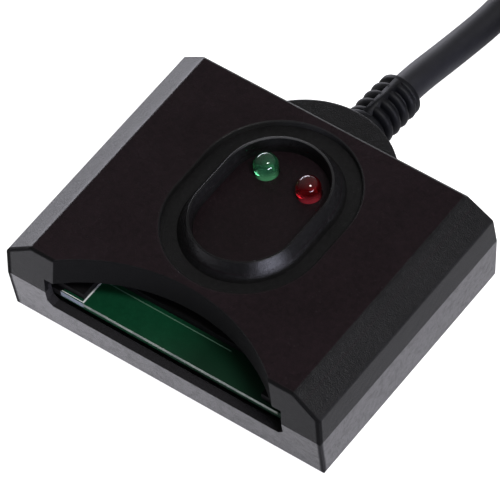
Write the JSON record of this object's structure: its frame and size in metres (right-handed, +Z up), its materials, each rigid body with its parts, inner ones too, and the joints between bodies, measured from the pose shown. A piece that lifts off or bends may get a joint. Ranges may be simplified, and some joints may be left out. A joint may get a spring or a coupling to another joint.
{
  "type": "usb smart card reader",
  "caption": "Desktop contact smart card reader: two-part bevelled housing, front card slot under a thumb cutout, raised status ring and captive USB lead.",
  "frame": {"origin": "middle of the housing's footprint, on the plane that the rubber feet stand on", "axes": "+X across the card slot to the right seen from the front, +Y from the slot to the lead, +Z up"},
  "size_m": [0.1402, 0.1813, 0.0251],
  "materials": {
    "housing": "fine spark-eroded grain on black ABS",
    "rubber": "moulded, matte",
    "steel": "zinc plated",
    "board": "green solder mask over glass laminate",
    "black_moulding": "moulded, satin",
    "gold": "gold plated spring bronze",
    "lamp_green": "tinted clear epoxy",
    "lamp_red": "tinted clear epoxy",
    "tin": "tinned",
    "can_sleeve": "shrink sleeve",
    "ceramic": "fired ceramic",
    "ivory_plastic": "moulded nylon",
    "wire_red": "insulation",
    "wire_white": "insulation",
    "wire_green": "insulation",
    "cord": "soft black vinyl, low sheen",
    "plug_steel": "nickel plated"
  },
  "bodies": {
    "housing": {"top_shell": "housing", "bottom_shell": "housing", "rubber_feet": "rubber", "housing_screws": "steel", "circuit_board": "board", "board_screws": "steel", "card_connector": "black_moulding", "contact_tails": "gold", "switch_anvil": "gold", "led_green": "lamp_green", "led_red": "lamp_red", "led_leads": "tin", "reader_chip": "black_moulding", "chip_legs": "tin", "crystal": "tin", "electrolytic_capacitor": "can_sleeve", "voltage_regulator": "black_moulding", "chip_capacitors": "ceramic", "chip_resistors": "black_moulding", "cable_header": "ivory_plastic", "header_pins": "tin", "crimp_plug": "ivory_plastic", "wire_red": "wire_red", "wire_white": "wire_white", "wire_green": "wire_green", "wire_black": "cord", "inner_jacket": "cord", "strain_relief": "cord", "cable_lead": "cord", "cable_coil": "cord", "cable_tail": "cord", "plug_grip": "cord", "plug_shell": "plug_steel", "plug_tongue": "ivory_plastic", "plug_contacts": "gold"},
    "front_contacts": {"contact_row_front": "gold"},
    "rear_contacts": {"contact_row_rear": "gold"},
    "card_switch": {"switch_blade": "gold"}
  },
  "joints": [
    {"name": "front_contact_flex", "type": "hinge", "parent": "housing", "child": "front_contacts", "pos_m": [-0.0031, -0.01877, 0.01135], "axis": [-1, 0, 0], "range_deg": [0, 7.2], "stiffness_Nm_per_rad": 0.06},
    {"name": "rear_contact_flex", "type": "hinge", "parent": "housing", "child": "rear_contacts", "pos_m": [-0.0031, -0.00015, 0.01135], "axis": [1, 0, 0], "range_deg": [0, 7.2], "stiffness_Nm_per_rad": 0.06},
    {"name": "card_switch_flex", "type": "hinge", "parent": "housing", "child": "card_switch", "pos_m": [0.025, 0.00605, 0.0122], "axis": [0, 0, -1], "range_deg": [0, 4.4], "stiffness_Nm_per_rad": 0.026}
  ]
}
